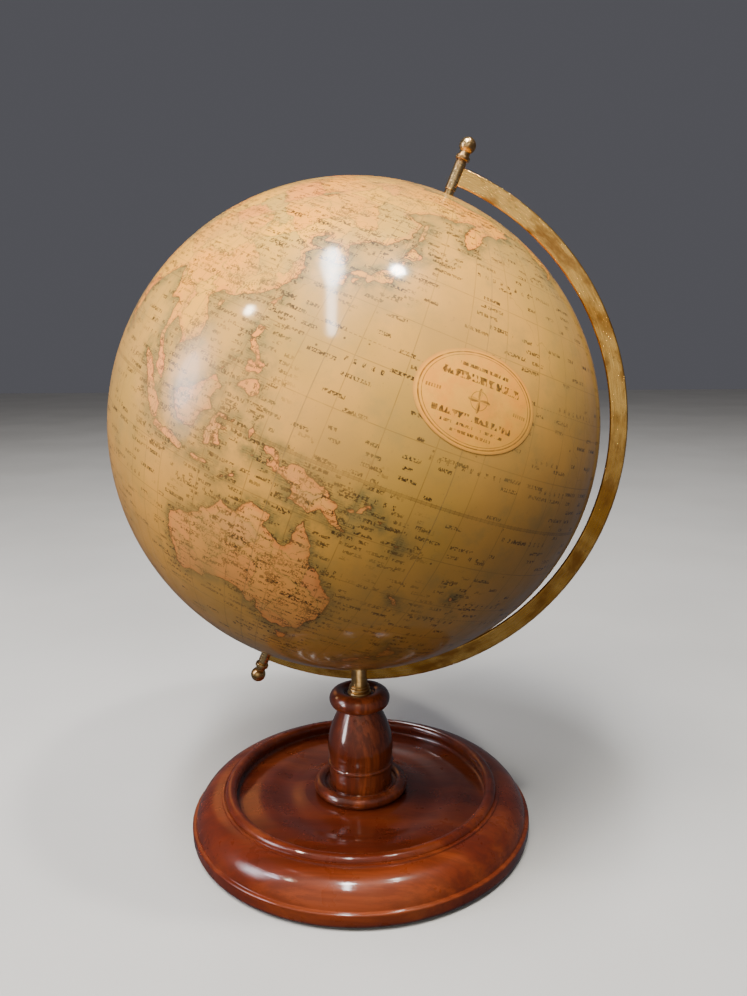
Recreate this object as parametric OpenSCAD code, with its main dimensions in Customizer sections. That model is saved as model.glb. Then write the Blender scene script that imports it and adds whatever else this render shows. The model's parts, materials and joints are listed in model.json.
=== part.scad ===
// Terrestrial table globe on a brass half meridian, with a turned mahogany pillar and dished base.
// Origin: centre of the underside. +Z is up. The meridian arm lies in the XZ plane, on the +X side.

/* [Globe] */
// Diameter of the ball over its varnished paper
globe_d = 355.6; // [340:0.1:370]
// Tilt of the polar axis from the vertical, towards +X
tilt = 22.5; // [20:0.5:27]
// Longitude, east of Greenwich, that stands over the meridian arm at rest
rest_longitude = 231; // [0:1:359]
// Thickness of the papier-mache and gesso shell
shell_t = 4; // [3:0.5:6]
// Thickness of a printed paper gore with its varnish
paper_t = 0.35; // [0.3:0.05:0.5]
// Latitude at which the gores end and the polar caps begin
cap_latitude = 70; // [66:1:74]

/* [Half meridian] */
// Gap between the ball and the inner edge of the arm
arm_gap = 9.2; // [7:0.1:12]
// Radial width of the arm's flat bar
arm_w = 12.7; // [11:0.1:14]
// Thickness of the arm's flat bar
arm_t = 3.2; // [2.8:0.1:3.6]
// Radius on the bar's four long edges
arm_edge_r = 1.1; // [0.6:0.1:1.3]

/* [Pivots] */
// Radius of the barrel brazed to each end of the arm
boss_r = 4; // [3.4:0.1:4.4]
// Length of that barrel
boss_len = 20.2; // [18:0.2:22]
// Radius of the ball on each pivot screw
ball_r = 5.9; // [5:0.1:6.6]
// Radius of the ring between the ball and the barrel
ring_r = 5.2; // [4.7:0.05:5.6]

/* [Stem] */
// Radius of the brass stem
stem_r = 6.35; // [5.6:0.05:6.8]
// Height of the arm's outer edge above the pillar's lip
stem_rise = 8.3; // [8:0.1:14]

/* [Pillar] */
// Height of the pillar's lip above the table
pillar_top = 113; // [112:0.5:116]
// Largest radius of the vase
vase_r = 26.4; // [24:0.1:28]
// Radius of the neck under the nozzle
neck_r = 16.4; // [15.5:0.1:18]

/* [Base] */
// Outside diameter of the base
base_d = 271; // [262:1:280]
// Mean height of the dished floor
floor_z = 26.1; // [25.5:0.1:27]
// Depth of the floor's turned waves, each way
wave_h = 1.3; // [0.4:0.1:1.6]
// Thickness of the baize pad
pad_t = 1.2; // [0.8:0.1:1.6]

/* [Hidden] */
$fn = 96;

mahogany = [0.46, 0.17, 0.08];
brass = [0.80, 0.62, 0.33];
steel = [0.55, 0.55, 0.56];
sea_paper = [0.66, 0.56, 0.34];
land_paper = [0.76, 0.52, 0.28];
shell_brown = [0.70, 0.66, 0.58];
post_wood = [0.72, 0.55, 0.34];
baize_green = [0.10, 0.27, 0.16];

// Half meridian and ball, measured from the centre of the ball
globe_r = globe_d / 2;
arm_in = globe_r + arm_gap;
arm_out = arm_in + arm_w;
arm_low_z = pillar_top + stem_rise;
centre_z = arm_low_z + arm_out;

// Paper, paste and shell
paste = 0.05;
seam = 0.05;
paper_in = globe_r - paper_t;
shell_out = paper_in - paste;
shell_in = shell_out - shell_t;
gores = 12;
gore_angle = 360 / gores;
cap_cut = globe_r * sin(cap_latitude);
label_t = 0.2;
label_latitude = 20.5;
label_longitude = 165.5;
label_half_w = 39.7;
label_half_h = 28.5;
hoop_h = 26;
hoop_t = 3;

// Pivots: distances along the polar axis from the ball's centre
bush_r = 4.2;
bush_flange_r = 8;
bush_flange_t = 0.9;
bush_nose_r = 3.5;
bush_in = globe_r - 20;
boss_gap = 0.5;
boss_start = globe_r + 5;
bush_nose = boss_start - boss_gap;
boss_end = boss_start + boss_len;
shoulder_h = 1;
ring_h = 3;
ring_end = boss_end + shoulder_h + ring_h;
ball_neck_r = 3.6;
ball_at = ring_end + ball_r + 1.4;
pivot_r = 2;
tip_r = 1.6;
tip_end = globe_r - 12;
running = 0.05;
thread_gap = 0.03;

// Stem and its seat in the pillar's nozzle
seat_z = pillar_top - 3.6;
shank_r = 4;
shank_len = 34;
stem_top = arm_low_z + 10.5;
collar_h = 7.4;
pin_r = 1.1;
pin_heights = [arm_low_z + 3.2, arm_low_z + 7.6];

// Pillar
tenon_r = 16;
tenon_low = 12;
foot_z = floor_z + wave_h;
foot_ring_r = 4.9;
foot_ring_at = [32.8, foot_z + 5.3];
drum_r = 25.3;
drum_low = foot_z + 6.2;
bead_r = 1.8;
bead_z = foot_z + 24.2;
vase_low = bead_z + bead_r;
vase_mid = bead_z + 13;
nozzle_r = 7.3;
nozzle_at = [16.9, pillar_top - nozzle_r];
vase_top = nozzle_at[1] - 7.6;

// Screw from below
screw_r = 3;
screw_len = 52;
screw_head_r = 6.5;
screw_head_h = 3.6;
washer_r = 10;
washer_t = 1.5;
counterbore_r = 12;
counterbore_top = pad_t + 5.6;

// Base mouldings
base_r = base_d / 2;
side_top = 13.1;
ovolo_r = 22;
ovolo_at = [base_r - 24.5, side_top - 3.4];
rim_r = 4.6;
rim_at = [base_r - 30.9, floor_z + 6.2];
trough_r = base_r - 38;
wave_len = 38;
wave_crest_r = foot_ring_at[0] + wave_len + 8.5;

// Points on a round stretch of outline
function arc(at, r, from, to, steps = 16) =
    [for (i = [0:steps]) let (a = from + (to - from) * i / steps) at + r * [cos(a), sin(a)]];

// A surface turned from an outline of [radius, height] points
module turned(outline) {
    rotate_extrude() polygon(outline);
}

// Frame of the ball: local Z is the polar axis, local X points to the middle of the arm
module polar() {
    translate([0, 0, centre_z]) rotate([0, tilt, 0]) children();
}

// The same frame, turned end for end about the arm's own line, for the south end
module south_end() {
    mirror([0, 0, 1]) children();
}

/* ---- Base ---- */

function floor_height(r) = floor_z + wave_h * cos(360 * (r - wave_crest_r) / wave_len);

module base() {
    outline = concat(
        [[0, pad_t], [base_r - 4.5, pad_t]],
        arc([base_r - 4.5, pad_t + 4.5], 4.5, -90, 0, 8),
        arc([base_r - 1.3, side_top - 1.3], 1.3, 0, 80, 6),
        [[base_r - 2.6, side_top + 0.1]],
        arc(ovolo_at, ovolo_r, 10, 85, 24),
        [[base_r - 23.3, rim_at[1] - 0.6], [base_r - 23.7, rim_at[1] + 0.7], [base_r - 25.2, rim_at[1] + 1.0]],
        arc(rim_at, rim_r, 8, 186, 24),
        arc([trough_r + 1.2, floor_height(trough_r) + 3], 3, -20, -90, 6),
        [for (i = [0:26]) let (r = trough_r - 2 * i) [r, floor_height(r)]],
        [[foot_ring_at[0] + 8.2, foot_z], [0, foot_z]]
    );
    color(mahogany) difference() {
        turned(outline);
        translate([0, 0, tenon_low]) cylinder(r = tenon_r, h = foot_z);
        translate([0, 0, -1]) cylinder(r = counterbore_r, h = counterbore_top + 1);
        cylinder(r = screw_r + 0.3, h = foot_z);
    }
}

module baize_pad() {
    color(baize_green) cylinder(r = base_r - 6, h = pad_t);
}

/* ---- Pillar ---- */

// The vase swells from the bead to its widest ring, then draws in to the neck
function vase_radius(z) =
    z < vase_mid
    ? vase_r - 1.3 * pow((vase_mid - z) / (vase_mid - vase_low), 2)
    : neck_r + (vase_r - neck_r) * cos(90 * (z - vase_mid) / (vase_top - vase_mid));

module pillar() {
    vase_steps = 28;
    outline = concat(
        [[0, tenon_low], [tenon_r - 0.05, tenon_low], [tenon_r - 0.05, foot_z], [foot_ring_at[0] + 1, foot_z]],
        arc(foot_ring_at, foot_ring_r, -78, 165, 28),
        [[foot_ring_at[0] - 6, drum_low], [drum_r + 1, drum_low]],
        arc([drum_r + 1, drum_low + 1], 1, -90, -180, 4),
        [[drum_r - 0.2, bead_z - bead_r - 0.5], [drum_r - 0.9, bead_z - bead_r]],
        arc([drum_r - 0.4, bead_z], bead_r, -80, 60, 14),
        [for (i = [0:vase_steps])
            let (z = vase_low + (vase_top - vase_low) * i / vase_steps) [vase_radius(z), z]],
        arc(nozzle_at, nozzle_r, -83, 125, 32),
        [[11.6, seat_z + 0.5], [11, seat_z], [0, seat_z]]
    );
    color(mahogany) difference() {
        turned(outline);
        translate([0, 0, seat_z - shank_len - 1]) cylinder(r = shank_r, h = shank_len + 10);
        translate([0, 0, tenon_low - 1]) cylinder(r = screw_r, h = screw_len - 2);
    }
}

module pillar_screw() {
    head_low = counterbore_top - washer_t - screw_head_h;
    color(steel) difference() {
        union() {
            translate([0, 0, head_low]) cylinder(r = screw_head_r, h = screw_head_h);
            translate([0, 0, head_low + 1]) cylinder(r = screw_r - thread_gap, h = screw_len - 5);
            translate([0, 0, head_low + screw_len - 4]) cylinder(r1 = screw_r - thread_gap, r2 = 0.4, h = 5);
        }
        translate([-screw_head_r - 1, -0.7, head_low - 1]) cube([2 * screw_head_r + 2, 1.4, 2.4]);
    }
}

module screw_washer() {
    color(steel) translate([0, 0, counterbore_top - washer_t]) difference() {
        cylinder(r = washer_r, h = washer_t);
        translate([0, 0, -1]) cylinder(r = screw_r + 0.3, h = washer_t + 2);
    }
}

/* ---- Stem ---- */

// The bar of the arm as a full half ring in the frame of the ball
module arm_bar(w_low, w_high, t, edge) {
    corner_low = w_low + edge;
    corner_high = w_high - edge;
    corner_t = t / 2 - edge;
    rotate([90, 0, 0]) rotate_extrude(angle = 180, start = -90, $fn = 240) polygon(concat(
        arc([corner_high, corner_t], edge, 0, 90, 5),
        arc([corner_low, corner_t], edge, 90, 180, 5),
        arc([corner_low, -corner_t], edge, 180, 270, 5),
        arc([corner_high, -corner_t], edge, 270, 360, 5)
    ));
}

module pins(r) {
    for (z = pin_heights)
        translate([0, 0, z]) rotate([90, 0, 0]) cylinder(r = r, h = 4 * stem_r, center = true, $fn = 32);
}

module stem() {
    slot = arm_t + 2 * thread_gap;
    color(brass) difference() {
        union() {
            translate([0, 0, seat_z]) cylinder(r = stem_r, h = stem_top - seat_z - 0.8);
            translate([0, 0, stem_top - 0.8]) cylinder(r1 = stem_r, r2 = stem_r - 0.8, h = 0.8);
            translate([0, 0, seat_z - shank_len]) cylinder(r = shank_r - thread_gap, h = shank_len + 1);
        }
        polar() arm_bar(arm_in - 2, arm_out + thread_gap, slot, 0.4);
        pins(pin_r);
    }
}

module stem_pins() {
    color(brass) intersection() {
        pins(pin_r - thread_gap);
        translate([0, 0, seat_z]) cylinder(r = stem_r, h = stem_top - seat_z);
    }
}

module stem_collar() {
    outline = concat(
        [[stem_r + thread_gap, 0], [9.2, 0]],
        arc([8.4, 1.2], 1.2, -60, 90, 8),
        [[7.7, 2.7]],
        arc([7.4, 4.1], 1.2, -70, 70, 8),
        [[7.3, 5.5]],
        arc([7.1, 6.4], 0.8, -60, 90, 6),
        [[stem_r + thread_gap, collar_h - 0.2]]
    );
    color(brass) translate([0, 0, seat_z]) turned(outline);
}

/* ---- Half meridian ---- */

module meridian_arm() {
    color(brass) difference() {
        polar() arm_bar(arm_in, arm_out, arm_t, arm_edge_r);
        polar() cylinder(r = boss_r, h = 3 * globe_d, center = true);
        pins(pin_r);
    }
}

// Tapped barrel at one end of the arm
module boss() {
    chamfer = 0.4;
    color(brass) difference() {
        union() {
            translate([0, 0, boss_start + chamfer]) cylinder(r = boss_r, h = boss_len - 2 * chamfer);
            translate([0, 0, boss_start]) cylinder(r1 = boss_r - chamfer, r2 = boss_r, h = chamfer);
            translate([0, 0, boss_end - chamfer]) cylinder(r1 = boss_r, r2 = boss_r - chamfer, h = chamfer);
        }
        translate([0, 0, boss_start - 1]) cylinder(r = pivot_r, h = boss_len + 2);
    }
}

module upper_boss() {
    polar() boss();
}

module lower_boss() {
    polar() south_end() boss();
}

module lock_ring() {
    outline = concat(
        [[pivot_r, 0], [3.3, 0], [3.3, shoulder_h]],
        arc([ring_r - 0.7, shoulder_h + 0.7], 0.7, -90, 0, 5),
        arc([ring_r - 0.7, shoulder_h + ring_h - 0.7], 0.7, 0, 90, 5),
        [[pivot_r, shoulder_h + ring_h]]
    );
    color(brass) translate([0, 0, boss_end]) turned(outline);
}

module upper_lock_ring() {
    polar() lock_ring();
}

module lower_lock_ring() {
    polar() south_end() lock_ring();
}

// Ball-headed screw: threaded through the barrel, with a plain tip that runs in the ball's bush
module pivot() {
    tip_start = boss_start + 1;
    color(brass) {
        translate([0, 0, ball_at]) sphere(r = ball_r);
        translate([0, 0, ring_end]) cylinder(r1 = ball_neck_r + 0.5, r2 = ball_neck_r, h = 3);
        translate([0, 0, tip_start]) cylinder(r = pivot_r - thread_gap, h = ball_at - tip_start);
        translate([0, 0, tip_end]) cylinder(r = tip_r, h = tip_start - tip_end + 1);
    }
}

module upper_pivot() {
    polar() pivot();
}

module lower_pivot() {
    polar() south_end() pivot();
}

/* ---- Ball ---- */

// Hollow sphere between two radii
module skin(r_out, r_in) {
    difference() {
        sphere(r = r_out);
        sphere(r = r_in);
    }
}

module half_shell() {
    intersection() {
        difference() {
            skin(shell_out, shell_in);
            cylinder(r = bush_r, h = globe_d);
        }
        translate([-globe_r, -globe_r, seam / 2]) cube([globe_d, globe_d, globe_r]);
    }
}

module north_shell() {
    color(shell_brown) polar() half_shell();
}

module south_shell() {
    color(shell_brown) polar() south_end() half_shell();
}

// Pasteboard band bent round the inside of the joint between the two half shells
module equator_hoop() {
    hoop_r = sqrt(pow(shell_in - paste, 2) - pow(hoop_h / 2, 2));
    color(post_wood) polar() difference() {
        cylinder(r = hoop_r, h = hoop_h, center = true);
        cylinder(r = hoop_r - hoop_t, h = hoop_h + 2, center = true);
    }
}

module axis_post() {
    plate_r = 26;
    plate_at = 158;
    color(post_wood) polar() difference() {
        intersection() {
            union() {
                cylinder(r = 11, h = 2 * shell_in, center = true);
                translate([0, 0, plate_at]) cylinder(r = plate_r, h = 20);
                mirror([0, 0, 1]) translate([0, 0, plate_at]) cylinder(r = plate_r, h = 20);
            }
            sphere(r = shell_in - paste);
        }
        for (side = [0, 1])
            mirror([0, 0, side]) translate([0, 0, bush_in - 0.5]) cylinder(r = bush_r, h = 40);
    }
}

// Flanged bush: its nose stands out of the paper and carries the ball on the pivot's tip
module bush() {
    color(brass) difference() {
        union() {
            translate([0, 0, bush_in]) cylinder(r = bush_r - thread_gap, h = bush_nose - bush_in - 3);
            translate([0, 0, globe_r + paste]) cylinder(r = bush_flange_r, h = bush_flange_t - 0.3);
            translate([0, 0, globe_r + paste + bush_flange_t - 0.3])
                cylinder(r1 = bush_flange_r, r2 = bush_flange_r - 0.6, h = 0.3);
            translate([0, 0, globe_r + paste]) cylinder(r = bush_nose_r, h = bush_nose - globe_r - paste);
        }
        translate([0, 0, tip_end - 1]) cylinder(r = tip_r + running, h = 60);
    }
}

module north_bush() {
    polar() bush();
}

module south_bush() {
    polar() south_end() bush();
}

// One lune of printed paper. The first one is centred on the meridian of Greenwich
module gore(number) {
    west = (number - 1.5) * gore_angle - rest_longitude;
    reach = 2 * globe_r;
    half_seam = seam / 2;
    color(number % 2 == 0 ? sea_paper : land_paper) polar() rotate([0, 0, west]) intersection() {
        skin(globe_r, paper_in);
        translate([0, 0, -cap_cut]) linear_extrude(height = 2 * cap_cut) polygon([
            [half_seam / tan(gore_angle / 2), half_seam],
            [reach, half_seam],
            [reach * cos(gore_angle) + half_seam * sin(gore_angle),
             reach * sin(gore_angle) - half_seam * cos(gore_angle)]
        ]);
    }
}

// Round paper cap over the tips of the gores
module polar_cap() {
    color(sea_paper) intersection() {
        difference() {
            skin(globe_r, paper_in);
            cylinder(r = bush_r, h = globe_d);
        }
        translate([-globe_r, -globe_r, cap_cut + seam]) cube([globe_d, globe_d, globe_r]);
    }
}

module north_cap() {
    polar() polar_cap();
}

module south_cap() {
    polar() south_end() polar_cap();
}

// Oval title paper, left blank, pasted over the gores
module title_label() {
    oval = [for (i = [0:47]) [label_half_h * cos(7.5 * i), label_half_w * sin(7.5 * i)]];
    color(sea_paper) polar() intersection() {
        skin(globe_r + paste + label_t, globe_r + paste);
        rotate([0, 0, label_longitude - rest_longitude]) rotate([0, 90 - label_latitude, 0])
            linear_extrude(height = globe_d) polygon(oval);
    }
}

module gore_01() { gore(1); }
module gore_02() { gore(2); }
module gore_03() { gore(3); }
module gore_04() { gore(4); }
module gore_05() { gore(5); }
module gore_06() { gore(6); }
module gore_07() { gore(7); }
module gore_08() { gore(8); }
module gore_09() { gore(9); }
module gore_10() { gore(10); }
module gore_11() { gore(11); }
module gore_12() { gore(12); }

base();
baize_pad();
pillar();
pillar_screw();
screw_washer();
stem();
stem_collar();
stem_pins();
meridian_arm();
upper_boss();
lower_boss();
upper_lock_ring();
lower_lock_ring();
upper_pivot();
lower_pivot();
north_shell();
south_shell();
equator_hoop();
axis_post();
north_bush();
south_bush();
gore_01();
gore_02();
gore_03();
gore_04();
gore_05();
gore_06();
gore_07();
gore_08();
gore_09();
gore_10();
gore_11();
gore_12();
north_cap();
south_cap();
title_label();
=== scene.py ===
"""Looks of the terrestrial table globe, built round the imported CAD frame."""
import json
import math

import bpy
import numpy as np
from mathutils import Matrix, Vector


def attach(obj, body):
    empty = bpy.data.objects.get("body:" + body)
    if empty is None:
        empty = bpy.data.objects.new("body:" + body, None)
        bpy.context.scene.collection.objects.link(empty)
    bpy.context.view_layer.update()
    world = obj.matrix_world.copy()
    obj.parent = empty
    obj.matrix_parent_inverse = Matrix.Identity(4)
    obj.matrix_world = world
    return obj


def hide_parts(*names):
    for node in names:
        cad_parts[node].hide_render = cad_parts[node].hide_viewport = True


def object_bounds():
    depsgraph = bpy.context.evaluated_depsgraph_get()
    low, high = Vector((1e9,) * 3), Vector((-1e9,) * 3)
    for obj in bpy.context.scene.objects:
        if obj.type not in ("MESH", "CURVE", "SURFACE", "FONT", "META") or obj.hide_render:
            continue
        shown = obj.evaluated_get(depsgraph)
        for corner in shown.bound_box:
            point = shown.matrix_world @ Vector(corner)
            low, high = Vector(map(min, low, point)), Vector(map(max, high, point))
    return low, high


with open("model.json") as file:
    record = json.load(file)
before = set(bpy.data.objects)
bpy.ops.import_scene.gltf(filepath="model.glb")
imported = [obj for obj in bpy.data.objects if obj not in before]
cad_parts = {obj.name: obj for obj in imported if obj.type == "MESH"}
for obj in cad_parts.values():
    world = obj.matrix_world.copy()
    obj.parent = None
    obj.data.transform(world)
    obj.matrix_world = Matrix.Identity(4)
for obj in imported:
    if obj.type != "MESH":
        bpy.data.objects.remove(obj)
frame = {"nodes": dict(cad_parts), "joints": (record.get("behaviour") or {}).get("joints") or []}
cad_low, cad_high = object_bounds()
nodes = frame["nodes"]

# ---- The ball's own frame -------------------------------------------------
SPIN = frame["joints"][0]
BALL = np.array(SPIN["pos_m"], float)
POLE = np.array(SPIN["axis"], float) / np.linalg.norm(SPIN["axis"])
SIDE = np.array([POLE[2], 0.0, -POLE[0]])  # towards the middle of the arm
ACROSS = np.cross(POLE, SIDE)
REST_LONGITUDE = 231.0
GORES = 12
GORE_ANGLE = 360 / GORES
SEAM = 0.016  # half of the open seam between two papers, in degrees
PIVOT_HOLE_R = 0.0042
CAP_LATITUDE = 70.0
LABEL_LATITUDE, LABEL_LONGITUDE = 20.5, 165.5
LABEL_HALF_W, LABEL_HALF_H = 0.0397, 0.0285


def mesh_points(name):
    """Vertices of a CAD node as an array."""
    mesh = nodes[name].data
    co = np.empty(len(mesh.vertices) * 3)
    mesh.vertices.foreach_get("co", co)
    return co.reshape(-1, 3)


def shell_radii(name):
    far = np.linalg.norm(mesh_points(name) - BALL, axis=1)
    return far.max(), far.min()


PAPER_OUT, PAPER_IN = shell_radii("north_cap")
LABEL_OUT, LABEL_IN = shell_radii("title_label")


def earth(lon, lat):
    """Unit vectors in the globe's own earth frame, from degrees."""
    lon, lat = np.radians(lon), np.radians(lat)
    return np.stack([np.cos(lat) * np.cos(lon), np.cos(lat) * np.sin(lon), np.sin(lat)], -1)


def to_row(unit):
    """Earth-frame directions turned into the object's frame at rest."""
    turn = math.radians(REST_LONGITUDE)
    x = unit[..., 0] * math.cos(turn) + unit[..., 1] * math.sin(turn)
    y = -unit[..., 0] * math.sin(turn) + unit[..., 1] * math.cos(turn)
    return x[..., None] * SIDE + y[..., None] * ACROSS + unit[..., 2, None] * POLE


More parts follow.
